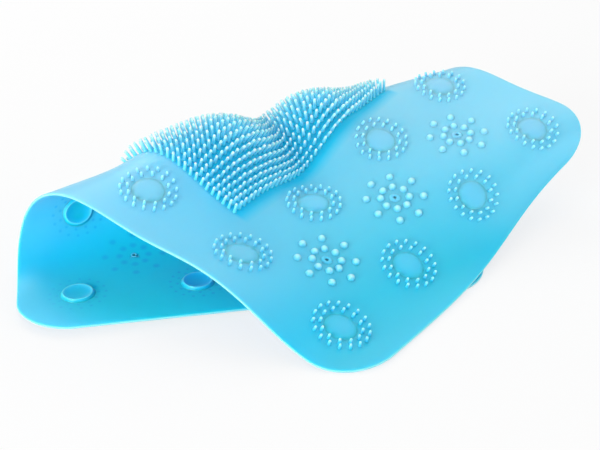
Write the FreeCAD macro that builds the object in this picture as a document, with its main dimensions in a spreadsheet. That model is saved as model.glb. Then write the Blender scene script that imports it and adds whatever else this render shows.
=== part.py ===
"""Foot massage mat: one sheet of soft silicone, moulded with rosettes of nubs, rings of knobs
around drain holes, a field of bristles and a suction cup beneath each rosette. It lies as it
comes to rest: one end is folded back beneath, and the rest slopes down to its front corner.

Every feature is laid out on the flat mat, and the drape carries it to its place in space.
Flat places are measured in millimetres from the middle of the mat: u across it, p along it."""
import FreeCAD, Part
import os
from math import cos, pi, radians, sin
from FreeCAD import Placement, Rotation, Vector
from Part import Geom2d

# Each size: its name, its value in millimetres, degrees or a plain count, and what it is
SIZES = (
    ("pitch", 84, "from one rosette to the next, both ways"),
    ("columns", 4, "rosettes across the mat"),
    ("rows", 5, "rosettes along the mat"),
    ("margin", 42, "from the outer rosettes to the edge"),
    ("corner_radius", 40, "of the mat's outline"),
    ("thickness", 2, "of the bare sheet"),
    ("dome_diameter", 21.6, "of the disc in each rosette"),
    ("dome_height", 1.6, "of the disc above the sheet"),
    ("dome_sides", 12, "of the disc and its cup"),
    ("cup_height", 2, "of the cup's rim below the sheet"),
    ("recess_diameter", 16, "of the hollow in the cup, at its rim"),
    ("recess_depth", 3.5, "of the hollow in the cup"),
    ("ring_diameter", 39, "through the middles of the outer nubs"),
    ("ring_count", 17, "outer nubs in a rosette"),
    ("nub_diameter", 2.6, "over the corners"),
    ("nub_height", 3, "above the sheet"),
    ("nub_sides", 3, "of a nub"),
    ("inner_knobs", 21, "diameter through their middles"),
    ("outer_knobs", 42, "diameter through their middles"),
    ("knob_count", 8, "knobs in each of the two rings"),
    ("knob_diameter", 5.4, "over the corners"),
    ("knob_height", 2.8, "above the sheet"),
    ("knob_sides", 5, "of a knob"),
    ("hub_diameter", 8, "of the disc around a drain hole"),
    ("hub_height", 1.2, "above the sheet"),
    ("drain_diameter", 2.6, "of a drain hole"),
    ("field_width", 190, "of the bristle field, across the mat"),
    ("field_length", 107, "of the bristle field, along the mat"),
    ("bristle_spacing", 12.6, "between bristles, both ways"),
    ("bristle_diameter", 4, "over the corners"),
    ("bristle_height", 9.5, "above the sheet"),
    ("bristle_sides", 3, "of a bristle"),
    ("root", 1, "how deep each feature is rooted in the sheet"),
    ("fold_heading", 33.5, "of the fold's line on the floor, from the X axis"),
    ("fold_slant", 22.3, "of the fold's line on the flat mat, from straight across"),
    ("station_gap", 38, "between the slopes below, across the fold"),
    ("section_gap", 120, "between the slopes below, along the fold"),
    ("lift_across_gap", 30, "between the lifts below, across the fold"),
    ("lift_along_gap", 24, "between the lifts below, along the fold"),
    ("tail_start", 200, "from the middle line to where the folded end begins to sink"),
    ("tail_length", 50, "over which it sinks"),
    ("tail_sink", 4.6, "from its nubs down to the floor"),
)

# How steeply the mat lies, in degrees, where it runs across the fold: 0 is flat on the floor
# and going back, 90 straight up, 180 level above and coming forward again. Each line is one
# station further from the folded end, and holds five sections from the near side to the far.
SLOPES = (
    (-20, 15, 50, 45, 55),
    (50, 45, 45, 50, 65),
    (145, 155, 155, 160, 145),
    (160, 210, 235, 215, 205),
    (175, 205, 215, 185, 185),
    (145, 180, 200, 190, 205),
    (185, 195, 200, 245, 320),
    (250, 220, 205, 210, 235),
    (230, 200, 175, 150, 130),
    (205, 165, 135, 100, 60),
)
FIRST_STATION = -2
FIRST_SECTION = -2
FLAT_STATIONS = 2

# How far the bristle field bulges up or sags on top of its slopes, in millimetres. Each line
# is one place further across the fold, and holds eleven places from the near side to the far.
LIFTS = (
    (0, 0, 0, 0, 0, 0, 0, 0, 0, 0, 0),
    (0, 4, 8, 10, 2, -6, 2, 6, 0, 0, 0),
    (0, 8, 8, 10, 2, -15, 6, 6, -4, -2, 0),
    (0, 4, 4, 8, 0, -20, 0, 6, -2, 0, 0),
    (0, 0, 0, 0, -8, -18, -10, -4, 0, 0, 0),
    (0, 0, 0, 0, 0, 0, 0, 0, 0, 0, 0),
)
FIRST_LIFT_ACROSS = -2
FIRST_LIFT_ALONG = -5

# How finely the drape is walked, and how many spline lines the skins have each way
WALK_STEP = 2.0
ALONG_LINES, ACROSS_LINES = 24, 30
TOUCH = 0.5
SEAM = 0.01
SAME_WAY = 1
FINE = 0.1


def write_sizes(doc):
    """The driving sizes, one to a line, each with its name as alias."""
    sheet = doc.addObject("Spreadsheet::Sheet", "Sizes")
    for line, (name, value, meaning) in enumerate(SIZES, start=1):
        sheet.set("A%d" % line, name)
        sheet.set("B%d" % line, str(value))
        sheet.set("C%d" % line, meaning)
        sheet.setAlias("B%d" % line, name)
    doc.recompute()
    return sheet


def mixed(values, place):
    """A row of values read between its places, as an even cubic spline with level ends."""
    first = int(place // 1)
    t = place - first
    weights = ((1 - t) ** 3 / 6, (3 * t ** 3 - 6 * t ** 2 + 4) / 6,
               (-3 * t ** 3 + 3 * t ** 2 + 3 * t + 1) / 6, t ** 3 / 6)
    last = len(values) - 1
    return sum(w * values[max(0, min(last, first - 1 + k))] for k, w in enumerate(weights))


class Drape:
    """Carries a place on the flat mat to its place in space."""

    def __init__(self, size):
        self.heading = radians(size.fold_heading)
        self.slant = radians(size.fold_slant)
        self.station_gap, self.section_gap = size.station_gap, size.section_gap
        self.lift_across_gap, self.lift_along_gap = size.lift_across_gap, size.lift_along_gap
        self.tail_start, self.tail_length = size.tail_start, size.tail_length
        self.tail_sink = size.tail_sink
        self.start = (FIRST_STATION - 1) * size.station_gap

    def turned(self, u, p):
        """How far a flat place lies along the fold and across it."""
        return u * cos(self.slant) + p * sin(self.slant), p * cos(self.slant) - u * sin(self.slant)

    def flat(self, along, across):
        """The flat place that lies this far along the fold and across it."""
        return (along * cos(self.slant) - across * sin(self.slant),
                along * sin(self.slant) + across * cos(self.slant))

    def lift(self, along, across):
        """How far the mat bulges up there, or sinks, on top of its slopes."""
        place = along / self.lift_along_gap - FIRST_LIFT_ALONG
        bulge = mixed([mixed(line, place) for line in LIFTS],
                      across / self.lift_across_gap - FIRST_LIFT_ACROSS)
        share = max(0.0, min(1.0, (-across - self.tail_start) / self.tail_length))
        return bulge - self.tail_sink * share * share * (3 - 2 * share)

    def point(self, u, p):
        """The place in space of one place on the massage side."""
        along, across = self.turned(u, p)
        section = along / self.section_gap - FIRST_SECTION
        slopes = [0.0] * FLAT_STATIONS + [mixed(line, section) for line in SLOPES]
        length = max(across - self.start, 0.0)
        steps = int(length / WALK_STEP) + 1
        step = length / steps
        back, height = min(across - self.start, 0.0), self.lift(along, across)
        for k in range(steps):
            place = (self.start + (k + 0.5) * step) / self.station_gap
            angle = radians(mixed(slopes, place - FIRST_STATION + FLAT_STATIONS))
            back += step * cos(angle)
            height += step * sin(angle)
        return Vector(along * cos(self.heading) - back * sin(self.heading),
                      along * sin(self.heading) + back * cos(self.heading), height)

    def frame(self, u, p):
        """The point, the way that u runs there, and the way out of the massage side."""
        ahead = (self.point(u + TOUCH, p) - self.point(u - TOUCH, p)).normalize()
        aside = (self.point(u, p + TOUCH) - self.point(u, p - TOUCH)).normalize()
        return self.point(u, p), ahead, aside.cross(ahead).normalize()

    def lifted(self, u, p, height):
        """A point at a height above the massage side, or below it where that is negative."""
        point, ahead, out = self.frame(u, p)
        return point + out * height

    def place(self, u, p):
        """Stands a feature on the massage side, with its Z axis out of the sheet."""
        point, ahead, out = self.frame(u, p)
        return Placement(point, Rotation(ahead, Vector(), out, "ZXY"))


def even(reach, count):
    """Places evenly spread from one side of the middle to the other."""
    return [reach * (2 * k / count - 1) for k in range(count + 1)]


def smooth(points, places):
    """A spline through points, each reached at its given place."""
    curve = Part.BSplineCurve()
    curve.interpolate(Points=points, Parameters=places)
    return curve


def skin_surface(drape, reach, height):
    """One skin of the sheet as a spline surface, told by places along and across the fold."""
    alongs, acrosses = even(reach[0], ALONG_LINES), even(reach[1], ACROSS_LINES)
    sections = [smooth([drape.lifted(*drape.flat(a, b), height) for b in acrosses], acrosses)
                for a in alongs]
    rails = [smooth(list(poles), alongs) for poles in zip(*[s.getPoles() for s in sections])]
    surface = Part.BSplineSurface()
    surface.buildFromPolesMultsKnots(
        [list(poles) for poles in zip(*[rail.getPoles() for rail in rails])],
        rails[0].getMultiplicities(), sections[0].getMultiplicities(),
        rails[0].getKnots(), sections[0].getKnots(), False, False, 3, 3)
    return surface


def outline_curves(drape, width, length, radius):
    """The mat's flat outline as places along and across the fold: four sides, four corners."""
    a, b = width / 2, length / 2
    c, d = a - radius, b - radius

    def spot(u, p):
        return FreeCAD.Base.Vector2d(*drape.turned(u, p))

    def line(u1, p1, u2, p2):
        return Geom2d.Line2dSegment(spot(u1, p1), spot(u2, p2))

    def corner(u, p, start):
        first = radians(start) - drape.slant
        return Geom2d.ArcOfCircle2d(Geom2d.Circle2d(spot(u, p), radius), first, first + pi / 2)

    return (line(-c, -b, c, -b), corner(c, -d, 270), line(a, -d, a, d), corner(c, d, 0),
            line(c, b, -c, b), corner(-c, d, 90), line(-a, d, -a, -d), corner(-c, -d, 180))


def sheet_shape(size, drape):
    """The bare sheet: its two skins and the wall around its edge."""
    width = (size.columns - 1) * size.pitch + 2 * size.margin
    length = (size.rows - 1) * size.pitch + 2 * size.margin
    reach = ((width * cos(drape.slant) + length * sin(drape.slant)) / 2,
             (length * cos(drape.slant) + width * sin(drape.slant)) / 2)
    outline = outline_curves(drape, width, length, size.corner_radius)
    faces, rims = [], []
    for height in (0.0, -size.thickness):
        surface = skin_surface(drape, reach, height)
        rim = [curve.toShape(surface) for curve in outline]
        face = Part.Face(surface, Part.Wire(rim))
        face.validate()
        faces.append(face)
        rims.append(rim)
    faces += [Part.makeRuledSurface(upper, lower, SAME_WAY) for upper, lower in zip(*rims)]
    skin = Part.Compound(faces)
    skin.sewShape(SEAM)
    solid = Part.Solid(Part.Shell(skin.Faces))
    if solid.Volume < 0:
        solid.reverse()
    return solid


def prism(doc, name, diameter, height, sides, base):
    """An upright prism, with its sizes and the height of its base bound to the cells."""
    item = doc.addObject("Part::Prism", name)
    item.setExpression("Circumradius", "Sizes.%s / 2" % diameter)
    item.setExpression("Height", height)
    item.setExpression("Polygon", "Sizes.%s" % sides)
    item.setExpression("Placement.Base.z", base)
    return item


def make_features(doc):
    """One of each feature, standing at the origin with the massage side at height zero."""
    prism(doc, "Dome", "dome_diameter", "Sizes.dome_height + Sizes.root", "dome_sides",
          "-Sizes.root")
    prism(doc, "CupBody", "dome_diameter", "Sizes.cup_height + Sizes.root", "dome_sides",
          "-Sizes.thickness - Sizes.cup_height")
    prism(doc, "Nub", "nub_diameter", "Sizes.nub_height + Sizes.root", "nub_sides",
          "-Sizes.root")
    prism(doc, "Knob", "knob_diameter", "Sizes.knob_height + Sizes.root", "knob_sides",
          "-Sizes.root")
    prism(doc, "Bristle", "bristle_diameter", "Sizes.bristle_height + Sizes.root",
          "bristle_sides", "-Sizes.root")
    prism(doc, "Hub", "hub_diameter", "Sizes.hub_height + Sizes.root", "dome_sides",
          "-Sizes.root")
    prism(doc, "Recess", "recess_diameter", "Sizes.recess_depth", "dome_sides",
          "-Sizes.thickness - Sizes.cup_height")
    prism(doc, "Drain", "drain_diameter", "Sizes.thickness + 2 * Sizes.hub_height + Sizes.root",
          "dome_sides", "-Sizes.thickness - Sizes.root")
    doc.recompute()


def ring_places(middle, diameter, count):
    """Flat places evenly spaced around a circle."""
    return [(middle[0] + diameter / 2 * cos(2 * pi * k / count),
             middle[1] + diameter / 2 * sin(2 * pi * k / count)) for k in range(int(count))]


def rosette_places(size):
    """The lattice of rosettes, without those that the bristle field takes the place of."""
    lattice = [((i - (size.columns - 1) / 2) * size.pitch, (j - (size.rows - 1) / 2) * size.pitch)
               for i in range(int(size.columns)) for j in range(int(size.rows))]
    return [(u, p) for u, p in lattice
            if abs(u) > size.field_width / 2 or abs(p) > size.field_length / 2]


def drain_places(size):
    """The middles of the knob rings: between the first two rows and between the last two."""
    return [((i - (size.columns - 2) / 2) * size.pitch, side * (size.rows / 2 - 1) * size.pitch)
            for side in (-1, 1) for i in range(int(size.columns) - 1)]


def bristle_places(size):
    """Even rows of bristles that fill the field in the middle of the mat."""
    columns = int(size.field_width / size.bristle_spacing)
    rows = int(size.field_length / size.bristle_spacing)
    return [((i - (columns - 1) / 2) * size.bristle_spacing,
             (j - (rows - 1) / 2) * size.bristle_spacing)
            for i in range(columns) for j in range(rows)]


def mat_shape(doc, size):
    """The sheet with everything moulded onto it, standing on the floor over the origin."""
    drape = Drape(size)

    def moulded(name, places):
        shapes = []
        for u, p in places:
            shape = doc.getObject(name).Shape.copy()
            shape.Placement = drape.place(u, p).multiply(shape.Placement)
            shapes.append(shape)
        return shapes

    rosettes, drains = rosette_places(size), drain_places(size)
    nubs = [place for middle in rosettes
            for place in ring_places(middle, size.ring_diameter, size.ring_count)]
    knobs = [place for middle in drains for diameter in (size.inner_knobs, size.outer_knobs)
             for place in ring_places(middle, diameter, size.knob_count)]
    shape = sheet_shape(size, drape)
    for batch in (moulded("Dome", rosettes) + moulded("CupBody", rosettes)
                  + moulded("Hub", drains), moulded("Nub", nubs), moulded("Knob", knobs),
                  moulded("Bristle", bristle_places(size))):
        shape = shape.multiFuse(batch)
    shape = shape.cut(moulded("Recess", rosettes) + moulded("Drain", drains))
    return stood(max(shape.Solids, key=lambda one: one.Volume))


def stood(solid):
    """Moves the mat until its footprint is over the origin and its lowest point on the floor."""
    points = solid.tessellate(FINE)[0]
    low, high = [[end(point[k] for point in points) for k in range(3)] for end in (min, max)]
    move = Vector(-(low[0] + high[0]) / 2, -(low[1] + high[1]) / 2, -low[2])
    print("The drape moves by %.2f, %.2f, %.2f mm to stand over the origin." % tuple(move))
    solid.translate(move)
    return solid


def check(doc):
    """Stops before anything is written if an object failed or a shape isn't sound."""
    for item in doc.Objects:
        if "Invalid" in item.State or "Error" in item.State:
            raise RuntimeError("%s failed: %s" % (item.Label, item.State))
        if hasattr(item, "Shape") and (item.Shape.isNull() or not item.Shape.isValid()):
            raise RuntimeError("%s has no sound shape" % item.Label)


def main():
    doc = FreeCAD.newDocument("MassageMat")
    size = write_sizes(doc)
    make_features(doc)
    mat = doc.addObject("Part::Feature", "mat")
    mat.Label = "mat"
    mat.Shape = mat_shape(doc, size)
    doc.recompute()
    check(doc)
    os.makedirs("parts", exist_ok=True)
    mat.Shape.exportStep("parts/mat.step")


main()
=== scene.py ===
"""Foot massage mat of soft, slightly see-through silicone, folded as it comes to rest.

Every feature is modelled on the flat mat, in metres: x across it, y along it and z out of the
massage side. The drape then bends the finished mesh to its place in space."""
from math import cos, pi, radians, sin
from random import Random

import bmesh
import bpy
import numpy as np
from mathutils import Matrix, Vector


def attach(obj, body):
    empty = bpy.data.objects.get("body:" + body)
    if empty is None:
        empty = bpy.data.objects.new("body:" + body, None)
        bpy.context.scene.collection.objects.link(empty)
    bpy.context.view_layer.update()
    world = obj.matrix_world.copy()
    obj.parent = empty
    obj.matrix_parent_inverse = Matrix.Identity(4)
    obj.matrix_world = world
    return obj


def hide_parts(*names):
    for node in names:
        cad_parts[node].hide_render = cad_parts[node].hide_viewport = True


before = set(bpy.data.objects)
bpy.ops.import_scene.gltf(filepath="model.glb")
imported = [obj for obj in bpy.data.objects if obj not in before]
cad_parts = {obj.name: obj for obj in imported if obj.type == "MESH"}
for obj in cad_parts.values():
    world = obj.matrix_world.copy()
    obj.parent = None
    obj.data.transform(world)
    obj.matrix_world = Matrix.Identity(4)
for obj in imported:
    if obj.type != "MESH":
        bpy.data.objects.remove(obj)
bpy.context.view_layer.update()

# The lattice, as in the solid
PITCH = 0.084
COLUMNS, ROWS = 4, 5
MARGIN = 0.042
CORNER = 0.040
THICKNESS = 0.002
WIDTH = (COLUMNS - 1) * PITCH + 2 * MARGIN
LENGTH = (ROWS - 1) * PITCH + 2 * MARGIN
FIELD_WIDTH, FIELD_LENGTH = 0.190, 0.107

# How far the two rosettes' cells that the bristle field takes up reach from the mat's middle,
# in pitches
FIELD_CELLS_ACROSS, FIELD_CELLS_ALONG = 1.0, 0.5

# The cells that the sheet is cut into meet every rosette and drain hole
CELL = PITCH / 20
CORNER_STEPS = 16
EDGE_STEPS = 6
SHORT_EDGE = 0.0012

# Two rings of nubs round each rosette's disc, and two of knobs round each drain hole, each
# ring as a diameter and a count
NUB_RINGS = ((0.0290, 12), (0.0390, 17))
KNOB_RINGS = ((0.0210, 8), (0.0420, 8))
DRAIN_RADIUS = 0.0013
DRAIN_STEPS = 3

# The row of rosettes on which the folded end stands has shorter nubs
PRESSED_BELOW, PRESSED_SHARE = -1.5 * PITCH, 0.75

# Bristles: how far their tips lean by chance, and how far those at the field's edge splay out
BRISTLE_SPACING = 0.0052
BRISTLE_COLUMNS, BRISTLE_ROWS = 37, 21
BRISTLE_LEAN, LEAN_POWER = 0.0005, 1.5
EDGE_SPLAY, SPLAY_POWER = 0.0008, 5
BRISTLE_SEED = 11

# Profiles as (radius, height) places from the tip down to the foot, in metres
NUB = ((0.0, 0.0040), (0.0006, 0.0039), (0.00095, 0.0034), (0.00105, 0.0025), (0.0011, 0.0006),
       (0.00135, 0.0001), (0.0017, -0.0003), (0.0, -0.0003))
KNOB = ((0.0, 0.0028), (0.0010, 0.0027), (0.0019, 0.0022), (0.0025, 0.0014), (0.0027, 0.0006),
        (0.0030, 0.0001), (0.0035, -0.0003), (0.0, -0.0003))
BRISTLE = ((0.0, 0.0098), (0.0006, 0.0096), (0.00092, 0.0091), (0.00096, 0.0080),
           (0.00106, 0.0035), (0.00135, 0.0004), (0.0019, -0.0003), (0.0, -0.0003))
DISC = ((0.0, 0.0012), (0.0030, 0.00118), (0.0060, 0.00106), (0.0082, 0.00084), (0.0096, 0.00056),
        (0.0105, 0.00026), (0.0112, 0.00005), (0.0120, -0.0003), (0.0, -0.0003))
HUB = ((0.0024, -0.0019), (0.0022, -0.0023), (0.0017, -0.0024), (0.0013, -0.0022), (0.0013, 0.0006),
       (0.0016, 0.0009), (0.0030, 0.0009), (0.0037, 0.0006), (0.0041, 0.0001), (0.0046, -0.0003),
       (0.0024, -0.0006), (0.0024, -0.0019))
CUP = ((0.0, -0.0025), (0.0030, -0.00255), (0.0050, -0.0027), (0.0065, -0.0029), (0.0080, -0.0032),
       (0.0090, -0.0035), (0.0098, -0.0039), (0.0103, -0.0041), (0.0107, -0.0039), (0.0109, -0.0034),
       (0.0111, -0.0028), (0.0116, -0.0023), (0.0126, -0.0018), (0.0, -0.0016))
BRISTLE_LENGTH = BRISTLE[0][1]
NUB_SIDES, KNOB_SIDES, BRISTLE_SIDES = 8, 12, 6
DISC_SIDES, HUB_SIDES, CUP_SIDES = 32, 24, 32

# How the mat is folded. Each line of slopes, in degrees, is one station further across the
# fold and holds five sections along it, from the near side to the far. A slope of 0 runs
# back along the floor, 90 straight up, and 180 forward again above the first part.
SLOPES = np.radians((
    (0, 0, 0, 0, 0),
    (0, 0, 0, 0, 0),
    (-20, 15, 50, 45, 55),
    (50, 45, 45, 50, 65),
    (145, 155, 155, 160, 145),
    (160, 210, 235, 215, 205),
    (175, 205, 215, 185, 185),
    (145, 180, 200, 190, 205),
    (185, 195, 200, 245, 320),
    (250, 220, 205, 210, 235),
    (230, 200, 175, 150, 130),
    (205, 165, 135, 100, 60),
))
STATION_GAP, SECTION_GAP = 0.038, 0.120
FIRST_STATION, FIRST_SECTION = -4, -2
CURL_START = -3 * STATION_GAP

# How far the bristle field bulges up or sags on top of its slopes, in millimetres made metres.
# Each line is one place further across the fold, and holds eleven places along it.
LIFTS = 0.001 * np.array((
    (0, 0, 0, 0, 0, 0, 0, 0, 0, 0, 0),
    (0, 4, 8, 10, 2, -6, 2, 6, 0, 0, 0),
    (0, 8, 8, 10, 2, -15, 6, 6, -4, -2, 0),
    (0, 4, 4, 8, 0, -20, 0, 6, -2, 0, 0),
    (0, 0, 0, 0, -8, -18, -10, -4, 0, 0, 0),
    (0, 0, 0, 0, 0, 0, 0, 0, 0, 0, 0),
))
LIFT_ACROSS_GAP, LIFT_ALONG_GAP = 0.030, 0.024
FIRST_LIFT_ACROSS, FIRST_LIFT_ALONG = -2, -5

# The hidden corner of the folded end sinks from its nubs down to the floor
TAIL_START, TAIL_LENGTH, TAIL_SINK = 0.200, 0.050, 0.0046

# The fold's direction from the X axis, the mat's slant to it, and the step to where it stands
HEADING, SLANT = radians(33.5), radians(22.3)
STAND = np.array((-0.01013, 0.01848, 0.00506))
NET_ALONG, NET_ACROSS = 0.002, 0.001
NET_REACH = 0.280

# The photograph's view, from the place in its centre
LOOK_AT = Vector((-0.0091, 0.0401, -0.0009))
ELEVATION = radians(28.27)
DISTANCE = 0.912
FOCAL, SENSOR = 69.36, 36.0

# The room: each lamp has a place, a width and a power, and all of them face one place
LAMPS = {
    "key": ((-0.75, 1.1, 1.2), 0.9, 5.0),
    "fill": ((-1.2, -1.6, 0.4), 1.4, 38.0),
    "side": ((1.8, -0.4, 0.55), 1.2, 6.0),
    "panel": ((0.5, 1.5, 1.7), 2.4, 10.0),
}
LAMPS_FACE = Vector((0, 0, 0.03))
ROOM_LIGHT = 0.58
FLOOR_SPAN, FLOOR_PAINT, FLOOR_GLOW = 6, 0.92, 0.75

# The heights between which the silicone is painted paler, as painted light coming through from below
RAISED_FROM, RAISED_TO = 0.012, 0.077
RAISED_PAINTED_LIGHT = (0.23, 0.65, 0.92)

# Painted shade between the bristles and painted shadow along their front: it reaches past the field's
# front side by twice its shade, and its edges fade over a share of a pitch at the sides, front and back.
FIELD_SHADE = 0.004
FIELD_SIDE_FADE, FIELD_END_FADE = 0.02, 0.05
BRISTLE_PAINTED_SHADE = (0.0, 0.58, 0.98)

# Painted light of the fold's shaded hollow, a brighter, deeper colour round a flat place given in pitches
FOLD_MIDDLE, FOLD_RADIUS, FOLD_SOFTNESS = (1.6, 0.7), 0.080, 0.035
FOLD_HOLLOW_LIGHT = (0.0, 0.76, 1.0)

# Soft spots of painted shade, where nubs and knobs show through from the other side, and how strongly
NUB_SPOT, NUB_SPOT_SOFTNESS = 0.0010, 0.0006
KNOB_SPOT, KNOB_SPOT_SOFTNESS = 0.0022, 0.0012
SPOT_STRENGTH = 0.5

# The finish that every part of the silicone shares
FINISH = {
    "Roughness": 0.38,
    "IOR": 1.45,
    "Subsurface Weight": 1.0,
    "Subsurface Radius": (0.3, 0.9, 1.0),
    "Sheen Weight": 0.15,
    "Sheen Roughness": 0.50,
    "Sheen Tint": (0.85, 0.97, 1.0, 1),
}
MOTTLE_SCALE, MOTTLE_DETAIL = 14, 2
GRAIN_SCALE, GRAIN_DETAIL = 900, 3
GRAIN_STRENGTH, GRAIN_DEPTH = 0.10, 0.0002
# How much of the painted highlight the rosette discs and drain hubs take at their tops
DISC_HIGHLIGHT, HUB_HIGHLIGHT = 0.3, 0.5


def blended(rows, place):
    """Rows of values read between their places, as an even cubic spline with level ends."""
    first = np.floor(place).astype(int)
    t = (place - first)[:, None]
    weights = ((1 - t) ** 3, 3 * t ** 3 - 6 * t ** 2 + 4, -3 * t ** 3 + 3 * t ** 2 + 3 * t + 1, t ** 3)
    return sum(weight * rows[np.clip(first - 1 + k, 0, len(rows) - 1)]
               for k, weight in enumerate(weights)) / 6


class Drape:
    """The folded form of the mat, worked out on a fine net of places along and across the fold."""

    def __init__(self):
        self.along = np.arange(-NET_REACH, NET_REACH, NET_ALONG)
        self.across = np.arange(-NET_REACH, NET_REACH, NET_ACROSS)
        sections = blended(SLOPES.T, self.along / SECTION_GAP - FIRST_SECTION)
        middles = self.across[:-1] + NET_ACROSS / 2
        angles = blended(sections.T, middles / STATION_GAP - FIRST_STATION)
        angles[middles < CURL_START] = 0.0
        nothing = np.zeros((1, len(self.along)))
        back = np.vstack((nothing, np.cumsum(np.cos(angles), axis=0))) * NET_ACROSS
        height = np.vstack((nothing, np.cumsum(np.sin(angles), axis=0))) * NET_ACROSS
        back += self.across[0] - CURL_START
        lifts = blended(LIFTS.T, self.along / LIFT_ALONG_GAP - FIRST_LIFT_ALONG)
        height += blended(lifts.T, self.across / LIFT_ACROSS_GAP - FIRST_LIFT_ACROSS)
        share = np.clip((-self.across - TAIL_START) / TAIL_LENGTH, 0, 1)[:, None]
        height -= TAIL_SINK * share ** 2 * (3 - 2 * share)
        ahead = np.broadcast_to(self.along, back.shape)
        self.points = np.stack((ahead * cos(HEADING) - back * sin(HEADING),
                                ahead * sin(HEADING) + back * cos(HEADING), height), axis=-1)
        self.points += STAND
        across_way, along_way = np.gradient(self.points, axis=(0, 1))
        out = np.cross(across_way, along_way)
        self.out = out / np.linalg.norm(out, axis=-1, keepdims=True)

    def read(self, net, row, column):
        """A net read between its places."""
        i, j = np.floor(row).astype(int), np.floor(column).astype(int)
        s, t = (row - i)[:, None], (column - j)[:, None]
        near = net[i, j] * (1 - t) + net[i, j + 1] * t
        return near * (1 - s) + (net[i + 1, j] * (1 - t) + net[i + 1, j + 1] * t) * s

    def bend(self, bm):
        """Carries a flat mesh to its place. That mirrors it, so its faces are turned round."""
        flat = np.array([vert.co for vert in bm.verts])
        along = flat[:, 0] * cos(SLANT) + flat[:, 1] * sin(SLANT)
        across = flat[:, 1] * cos(SLANT) - flat[:, 0] * sin(SLANT)
        row, column = (across - self.across[0]) / NET_ACROSS, (along - self.along[0]) / NET_ALONG
        out = self.read(self.out, row, column)
        places = self.read(self.points, row, column) + out * flat[:, 2:]
        for vert, place in zip(bm.verts, places):
            vert.co = place
        bmesh.ops.reverse_faces(bm, faces=bm.faces)


DRAPE = Drape()


def flat_map(bm):
    """A UV map of flat places in pitches, counted from the mat's first corner."""
    layer = bm.loops.layers.uv.new("flat")
    for face in bm.faces:
        for loop in face.loops:
            place = loop.vert.co
            loop[layer].uv = (place.x / PITCH + COLUMNS / 2, place.y / PITCH + ROWS / 2)


def mark_tips(bm, share):
    """Marks how far each vertex stands out, from 0 on the sheet's faces to 1 at tips and rims.

    The share turns that into the weight of the painted highlight.
    """
    layer = bm.verts.layers.float.new("tip_highlight")
    reach = max(abs(vert.co.z) for vert in bm.verts)
    for vert in bm.verts:
        vert[layer] = share(abs(vert.co.z) / reach)


def finished(name, bm, material, share=lambda height: height):
    """Bends a flat mesh and hangs it in the scene as one piece of the mat."""
    mark_tips(bm, share)
    flat_map(bm)
    DRAPE.bend(bm)
    mesh = bpy.data.meshes.new(name)
    bm.to_mesh(mesh)
    bm.free()
    mesh.materials.append(material)
    mesh.shade_smooth()
    piece = bpy.data.objects.new(name, mesh)
    bpy.context.scene.collection.objects.link(piece)
    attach(piece, "root")
    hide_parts("mat")


def turned(profile, sides):
    """A closed profile spun round the Z axis, with its faces pointing outwards."""
    bm = bmesh.new()
    verts = [bm.verts.new((radius, 0, height)) for radius, height in profile]
    edges = [bm.edges.new(pair) for pair in zip(verts, verts[1:])]
    bmesh.ops.spin(bm, geom=verts + edges, axis=(0, 0, 1), cent=(0, 0, 0), angle=2 * pi,
                   steps=sides, use_merge=True, use_duplicate=False)
    bmesh.ops.remove_doubles(bm, verts=bm.verts, dist=1e-6)
    if bm.calc_volume(signed=True) < 0:
        bmesh.ops.reverse_faces(bm, faces=bm.faces)
    mesh = bpy.data.meshes.new("template")
    bm.to_mesh(mesh)
    bm.free()
    return mesh


def repeated(template, places, shape=None):
    """A template's copies at flat places, in one mesh. Each copy may be shaped on its own."""
    bm = bmesh.new()
    for x, y in places:
        first = len(bm.verts)
        bm.from_mesh(template)
        bm.verts.ensure_lookup_table()
        verts = bm.verts[first:]
        if shape:
            shape(verts, x, y)
        bmesh.ops.translate(bm, verts=verts, vec=(x, y, 0))
    bpy.data.meshes.remove(template)
    return bm


def ring_places(middle, diameter, count):
    """Flat places evenly spaced around a circle."""
    return [(middle[0] + diameter / 2 * cos(2 * pi * k / count),
             middle[1] + diameter / 2 * sin(2 * pi * k / count)) for k in range(count)]


def rosette_places():
    """The lattice of rosettes, without those that the bristle field takes the place of."""
    lattice = [((i - (COLUMNS - 1) / 2) * PITCH, (j - (ROWS - 1) / 2) * PITCH)
               for i in range(COLUMNS) for j in range(ROWS)]
    return [(x, y) for x, y in lattice
            if abs(x) > FIELD_WIDTH / 2 or abs(y) > FIELD_LENGTH / 2]


def drain_places():
    """The middles of the knob rings, between the first two rows and between the last two."""
    return [((i - (COLUMNS - 2) / 2) * PITCH, side * (ROWS / 2 - 1) * PITCH)
            for side in (-1, 1) for i in range(COLUMNS - 1)]


def outward(place):
    """The way out of the mat's outline from a place on it, or nothing from a place inside."""
    x_reach, y_reach = WIDTH / 2 - CORNER, LENGTH / 2 - CORNER
    nearest = Vector((max(-x_reach, min(x_reach, place.x)), max(-y_reach, min(y_reach, place.y)), 0))
    return (Vector((place.x, place.y, 0)) - nearest).normalized()


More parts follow.
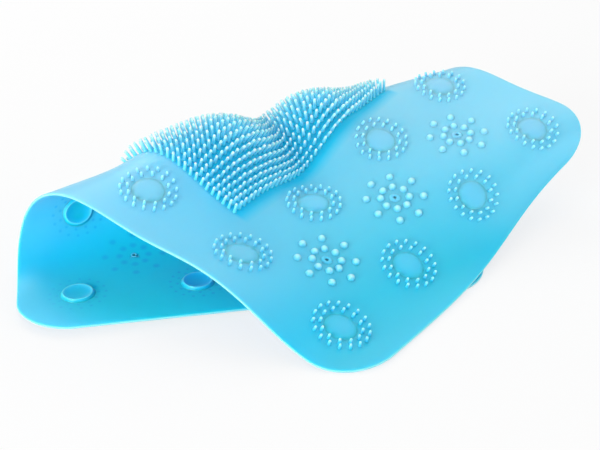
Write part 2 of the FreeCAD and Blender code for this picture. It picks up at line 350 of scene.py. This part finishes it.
def sheet(material):
    """The bare sheet: two skins, a round edge between them and the drain holes through both."""
    edge_radius = THICKNESS / 2
    bm = bmesh.new()
    bmesh.ops.create_grid(bm, x_segments=1, y_segments=1, size=0.5)
    bmesh.ops.scale(bm, verts=bm.verts, vec=(WIDTH - THICKNESS, LENGTH - THICKNESS, 1))
    bmesh.ops.bevel(bm, geom=bm.verts[:], offset=CORNER - edge_radius, offset_type="OFFSET",
                    profile=0.5, segments=CORNER_STEPS, affect="VERTICES", material=-1)
    for axis, size in ((0, WIDTH), (1, LENGTH)):
        normal = [0, 0, 0]
        normal[axis] = 1
        for k in range(1, round(size / CELL)):
            place = [0, 0, 0]
            place[axis] = k * CELL - size / 2
            bmesh.ops.bisect_plane(bm, geom=bm.verts[:] + bm.edges[:] + bm.faces[:],
                                   plane_co=place, plane_no=normal, dist=1e-6)
    border = [vert for vert in bm.verts if vert.is_boundary]
    bmesh.ops.remove_doubles(bm, verts=border, dist=SHORT_EDGE)
    cut_drains(bm)
    rim = [edge for edge in bm.edges if edge.is_boundary]
    lower = bmesh.ops.duplicate(bm, geom=bm.verts[:] + bm.edges[:] + bm.faces[:])["geom"]
    bmesh.ops.translate(bm, vec=(0, 0, -THICKNESS),
                        verts=[item for item in lower if isinstance(item, bmesh.types.BMVert)])
    for k in range(EDGE_STEPS):
        now, then = (edge_radius * sin(pi * (k + j) / EDGE_STEPS) for j in (0, 1))
        drop = edge_radius * (cos(pi * (k + 1) / EDGE_STEPS) - cos(pi * k / EDGE_STEPS))
        strip = bmesh.ops.extrude_edge_only(bm, edges=rim)["geom"]
        rim = [item for item in strip if isinstance(item, bmesh.types.BMEdge)]
        for vert in {vert for edge in rim for vert in edge.verts}:
            vert.co += outward(vert.co) * (then - now) + Vector((0, 0, drop))
    bmesh.ops.remove_doubles(bm, verts=bm.verts, dist=1e-5)
    bmesh.ops.recalc_face_normals(bm, faces=bm.faces)
    # The sheet's painted highlight lies along the middle of its round edge
    finished("sheet", bm, material, lambda height: sin(pi * height))


def cut_drains(bm):
    """Opens a round hole at each drain, from the vertex in its middle."""
    middles = [vert for vert in bm.verts
               if any((vert.co - Vector((x, y, 0))).length < DRAIN_RADIUS / 4 for x, y in drain_places())]
    bmesh.ops.bevel(bm, geom=middles, offset=DRAIN_RADIUS, offset_type="OFFSET", profile=0.5,
                    segments=DRAIN_STEPS, affect="VERTICES", material=-1)
    for x, y in drain_places():
        middle = Vector((x, y, 0))
        around = [face for face in bm.faces
                  if (face.calc_center_median() - middle).length < DRAIN_RADIUS / 4]
        for vert in {vert for face in around for vert in face.verts}:
            vert.co = middle + (vert.co - middle).normalized() * DRAIN_RADIUS
        bmesh.ops.delete(bm, geom=around, context="FACES_ONLY")


def pressed(verts, x, y):
    """Shortens the nubs of the last row, on which the folded end stands."""
    if y < PRESSED_BELOW:
        for vert in verts:
            vert.co.z *= PRESSED_SHARE


def bristles(material):
    """The bristle field: slim pins in even rows, each leaning a little, more so at its border."""
    places = [((i - (BRISTLE_COLUMNS - 1) / 2) * BRISTLE_SPACING,
               (j - (BRISTLE_ROWS - 1) / 2) * BRISTLE_SPACING)
              for i in range(BRISTLE_COLUMNS) for j in range(BRISTLE_ROWS)]
    chance = Random(BRISTLE_SEED)

    def lean(verts, x, y):
        tip_x, tip_y = (
            chance.uniform(-BRISTLE_LEAN, BRISTLE_LEAN) + EDGE_SPLAY * (2 * place / size) ** SPLAY_POWER
            for place, size in ((x, FIELD_WIDTH), (y, FIELD_LENGTH)))
        for vert in verts:
            share = max(vert.co.z / BRISTLE_LENGTH, 0) ** LEAN_POWER
            vert.co += Vector((tip_x * share, tip_y * share, 0))

    finished("bristles", repeated(turned(BRISTLE, BRISTLE_SIDES), places, lean), material)


class Nodes:
    """A material's node tree, with short ways to add to it."""

    def __init__(self, material):
        material.use_nodes = True
        self.nodes, self.links = material.node_tree.nodes, material.node_tree.links
        self.shader = self.nodes["Principled BSDF"]

    def feed(self, value, socket):
        """Links an output to a socket, or sets a plain number on it."""
        if isinstance(value, bpy.types.NodeSocket):
            self.links.new(value, socket)
        else:
            socket.default_value = value

    def math(self, operation, *values):
        node = self.nodes.new("ShaderNodeMath")
        node.operation = operation
        for value, socket in zip(values, node.inputs):
            self.feed(value, socket)
        return node.outputs["Value"]

    def span(self, x, y):
        """The length of a step of x and y."""
        return self.math("SQRT", self.math("ADD", self.math("MULTIPLY", x, x),
                                           self.math("MULTIPLY", y, y)))

    def mixed(self, low, high, factor):
        """Mixes two colours, each a plain one or another node's."""
        node = self.nodes.new("ShaderNodeMix")
        node.data_type = "RGBA"
        for value, name in ((low, "A"), (high, "B"), (factor, "Factor")):
            self.feed(value, node.inputs[name])
        return node.outputs["Result"]

    def noise(self, scale, detail):
        coordinates = self.nodes.new("ShaderNodeTexCoord")
        texture = self.nodes.new("ShaderNodeTexNoise")
        texture.inputs["Scale"].default_value = scale
        texture.inputs["Detail"].default_value = detail
        self.links.new(coordinates.outputs["Object"], texture.inputs["Vector"])
        return texture.outputs["Fac"]

    def raised(self):
        """How high a place lies, from 0 near the floor to 1 at the top of the fold."""
        coordinates = self.nodes.new("ShaderNodeTexCoord")
        parts = self.nodes.new("ShaderNodeSeparateXYZ")
        self.links.new(coordinates.outputs["Object"], parts.inputs["Vector"])
        rise = self.math("SUBTRACT", parts.outputs["Z"], RAISED_FROM)
        clamp = self.nodes.new("ShaderNodeClamp")
        self.links.new(self.math("DIVIDE", rise, RAISED_TO - RAISED_FROM), clamp.inputs["Value"])
        return clamp.outputs["Result"]

    def attribute(self, name):
        node = self.nodes.new("ShaderNodeAttribute")
        node.attribute_name = name
        return node.outputs["Fac"]

    def flat_place(self):
        """The flat place across and along the mat, in pitches."""
        place = self.nodes.new("ShaderNodeUVMap")
        place.uv_map = "flat"
        parts = self.nodes.new("ShaderNodeSeparateXYZ")
        self.links.new(place.outputs["UV"], parts.inputs["Vector"])
        return parts.outputs["X"], parts.outputs["Y"]

    def spot(self, distance, radius, softness):
        """A mask that is 1 within a radius and fades to 0 over a soft edge."""
        rest = self.math("SUBTRACT", radius + softness, distance)
        node = self.nodes.new("ShaderNodeClamp")
        self.links.new(self.math("DIVIDE", rest, 2 * softness), node.inputs["Value"])
        return node.outputs["Result"]

    def ring_of_spots(self, reach, angle, diameter, count, radius, softness):
        """Masks the spots of one ring, each spot the same distance from its neighbours."""
        turn = self.math("PINGPONG", angle, pi / count)
        aside = self.math("MULTIPLY", turn, diameter / 2)
        ahead = self.math("SUBTRACT", reach, diameter / 2)
        return self.spot(self.span(aside, ahead), radius, softness)


def seen_through(tree):
    """Where nubs and knobs on the other side make the sheet thicker: spots of painted shade."""
    across, along = tree.flat_place()

    def around(shift):
        """How far and in which direction the nearest lattice place lies, all moved by a shift."""
        x, y = (tree.math("SUBTRACT", tree.math("FRACT", tree.math("ADD", part, shift)), 0.5)
                for part in (across, along))
        return tree.math("MULTIPLY", tree.span(x, y), PITCH), tree.math("ARCTAN2", y, x)

    def two_rings(shift, rings, radius, softness):
        """The spots of two rings about every lattice place."""
        reach, angle = around(shift)
        return tree.math("MAXIMUM", *(tree.ring_of_spots(reach, angle, diameter, count, radius, softness)
                                      for diameter, count in rings))

    nubs = two_rings(0.0, NUB_RINGS, NUB_SPOT, NUB_SPOT_SOFTNESS)
    knobs = two_rings(0.5, KNOB_RINGS, KNOB_SPOT, KNOB_SPOT_SOFTNESS)
    middle_across = tree.math("ABSOLUTE", tree.math("SUBTRACT", across, COLUMNS / 2))
    middle_along = tree.math("ABSOLUTE", tree.math("SUBTRACT", along, ROWS / 2))
    outside_field = tree.math("MAXIMUM",
                              tree.math("GREATER_THAN", middle_across, FIELD_CELLS_ACROSS),
                              tree.math("GREATER_THAN", middle_along, FIELD_CELLS_ALONG))
    near_drains = tree.math("MULTIPLY", tree.math("LESS_THAN", middle_across, (COLUMNS - 1) / 2),
                            tree.math("COMPARE", middle_along, ROWS / 2 - 1, 0.5))
    return tree.math("MAXIMUM", tree.math("MULTIPLY", nubs, outside_field),
                     tree.math("MULTIPLY", knobs, near_drains))


def field_painted_shade(tree):
    """Where the sheet gets painted shade between the bristles and painted shadow along their front side.
    """
    across, along = tree.flat_place()
    aside = tree.math("ABSOLUTE", tree.math("SUBTRACT", across, COLUMNS / 2))
    ahead = tree.math("ABSOLUTE", tree.math("SUBTRACT", along, ROWS / 2 + FIELD_SHADE / PITCH))
    return tree.math("MULTIPLY", tree.spot(aside, FIELD_WIDTH / 2 / PITCH, FIELD_SIDE_FADE),
                     tree.spot(ahead, (FIELD_LENGTH / 2 + FIELD_SHADE) / PITCH, FIELD_END_FADE))


def fold_hollow_light(tree):
    """Where the fold closes over the mat, with the painted light of its shaded hollow."""
    x, y = (tree.math("MULTIPLY", tree.math("SUBTRACT", part, middle), PITCH)
            for part, middle in zip(tree.flat_place(), FOLD_MIDDLE))
    return tree.spot(tree.span(x, y), FOLD_RADIUS, FOLD_SOFTNESS)


def silicone(name, deep, pale, tip_highlight, highlight_sharpness=2.0, depth=0.0015, raised=1.0, shade=None):
    """Satin translucent silicone with a fine moulded grain, painted paler high up as painted light from
    below, and with a painted highlight at tips and rims.

    A shade is given for the bare sheet alone, as its painted shade where nubs and knobs show through."""
    material = bpy.data.materials.new(name)
    tree = Nodes(material)
    colour = tree.mixed((*deep, 1), (*pale, 1), tree.noise(MOTTLE_SCALE, MOTTLE_DETAIL))
    # Painted light: paler high up, as if light came through from below
    colour = tree.mixed(colour, (*RAISED_PAINTED_LIGHT, 1), tree.math("MULTIPLY", tree.raised(), raised))
    # The bare sheet's painted light in the fold, painted shade at the spots, and painted shade at the
    # bristles
    if shade:
        colour = tree.mixed(colour, (*FOLD_HOLLOW_LIGHT, 1), fold_hollow_light(tree))
        colour = tree.mixed(colour, (*shade, 1), tree.math("MULTIPLY", seen_through(tree), SPOT_STRENGTH))
        colour = tree.mixed(colour, (*BRISTLE_PAINTED_SHADE, 1), field_painted_shade(tree))
    # Painted highlight at tips and rims
    highlight_share = tree.math("POWER", tree.attribute("tip_highlight"), highlight_sharpness)
    colour = tree.mixed(colour, (*tip_highlight, 1), highlight_share)
    shader = tree.shader
    tree.feed(colour, shader.inputs["Base Color"])
    bump = tree.nodes.new("ShaderNodeBump")
    bump.inputs["Strength"].default_value = GRAIN_STRENGTH
    bump.inputs["Distance"].default_value = GRAIN_DEPTH
    tree.feed(tree.noise(GRAIN_SCALE, GRAIN_DETAIL), bump.inputs["Height"])
    tree.feed(bump.outputs["Normal"], shader.inputs["Normal"])
    shader.inputs["Subsurface Scale"].default_value = depth
    for socket, value in FINISH.items():
        shader.inputs[socket].default_value = value
    return material


def soft_lamp(name, place, size, energy):
    """A round soft lamp that faces the mat."""
    lamp = bpy.data.lights.new(name, "AREA")
    lamp.shape = "DISK"
    lamp.size = size
    lamp.energy = energy
    holder = bpy.data.objects.new(name, lamp)
    holder.location = place
    holder.rotation_euler = (LAMPS_FACE - Vector(place)).to_track_quat("-Z", "Y").to_euler()
    bpy.context.scene.collection.objects.link(holder)


def floor_white():
    """White paint that looks part lit by itself, so that the mat's shadow on it stays faint."""
    material = bpy.data.materials.new("floor_white")
    tree = Nodes(material)
    tree.shader.inputs["Base Color"].default_value = (FLOOR_PAINT, FLOOR_PAINT, FLOOR_PAINT, 1)
    tree.shader.inputs["Roughness"].default_value = 1.0
    tree.shader.inputs["Specular IOR Level"].default_value = 0.0
    rays = tree.nodes.new("ShaderNodeLightPath").outputs
    seen = tree.math("MAXIMUM", rays["Is Camera Ray"],
                     tree.math("MAXIMUM", rays["Is Glossy Ray"], rays["Is Transmission Ray"]))
    glow = tree.nodes.new("ShaderNodeEmission")
    mix = tree.nodes.new("ShaderNodeMixShader")
    tree.feed(tree.math("MULTIPLY", seen, FLOOR_GLOW), mix.inputs["Fac"])
    tree.feed(tree.shader.outputs["BSDF"], mix.inputs[1])
    tree.feed(glow.outputs["Emission"], mix.inputs[2])
    tree.feed(mix.outputs["Shader"], tree.nodes["Material Output"].inputs["Surface"])
    return material


def studio():
    """A white floor, an even white room, soft lamps around the mat, and the camera."""
    scene = bpy.context.scene
    bm = bmesh.new()
    bmesh.ops.create_grid(bm, x_segments=1, y_segments=1, size=FLOOR_SPAN)
    mesh = bpy.data.meshes.new("floor")
    bm.to_mesh(mesh)
    bm.free()
    floor = bpy.data.objects.new("floor", mesh)
    scene.collection.objects.link(floor)
    mesh.materials.append(floor_white())

    world = bpy.data.worlds.new("room")
    world.use_nodes = True
    world.node_tree.nodes["Background"].inputs["Color"].default_value = (1, 1, 1, 1)
    world.node_tree.nodes["Background"].inputs["Strength"].default_value = ROOM_LIGHT
    scene.world = world
    for name, (place, size, energy) in LAMPS.items():
        soft_lamp(name, place, size, energy)

    camera = bpy.data.cameras.new("camera")
    camera.lens, camera.sensor_width = FOCAL, SENSOR
    view = bpy.data.objects.new("camera", camera)
    view.location = LOOK_AT + DISTANCE * Vector((0, -cos(ELEVATION), sin(ELEVATION)))
    view.rotation_euler = (pi / 2 - ELEVATION, 0, 0)
    scene.collection.objects.link(view)
    scene.camera = view
    scene.view_settings.view_transform = "Standard"


# Each third colour is a painted highlight at tips and rims; the sheet's shade is painted shade
body = silicone("silicone_body", (0.002, 0.57, 0.93), (0.006, 0.60, 0.95), (0.34, 0.82, 0.98),
                highlight_sharpness=1.0, depth=0.005, shade=(0.0, 0.46, 0.90))
discs = silicone("silicone_discs", (0.01, 0.59, 0.95), (0.02, 0.62, 0.97), (0.40, 0.80, 0.98))
points = silicone("silicone_points", (0.01, 0.60, 0.97), (0.02, 0.63, 0.98), (0.45, 0.86, 1.0), 2.0)
pins = silicone("silicone_bristles", (0.06, 0.76, 1.0), (0.09, 0.80, 1.0), (0.70, 0.95, 1.0), 2.0,
                raised=0.5)
cups = silicone("silicone_cups", (0.0, 0.62, 0.98), (0.0, 0.65, 1.0), (0.18, 0.80, 1.0), 12.0,
                raised=0.0)

rosettes, drains = rosette_places(), drain_places()
nubs, knobs = ([place for middle in middles for diameter, count in rings
                for place in ring_places(middle, diameter, count)]
               for middles, rings in ((rosettes, NUB_RINGS), (drains, KNOB_RINGS)))

sheet(body)
finished("rosette_discs", repeated(turned(DISC, DISC_SIDES), rosettes), discs,
         lambda height: DISC_HIGHLIGHT * height)
finished("rosette_nubs", repeated(turned(NUB, NUB_SIDES), nubs, pressed), points)
finished("suction_cups", repeated(turned(CUP, CUP_SIDES), rosettes), cups)
finished("drain_hubs", repeated(turned(HUB, HUB_SIDES), drains), discs,
         lambda height: HUB_HIGHLIGHT * height)
finished("knobs", repeated(turned(KNOB, KNOB_SIDES), knobs), points)
bristles(pins)
studio()
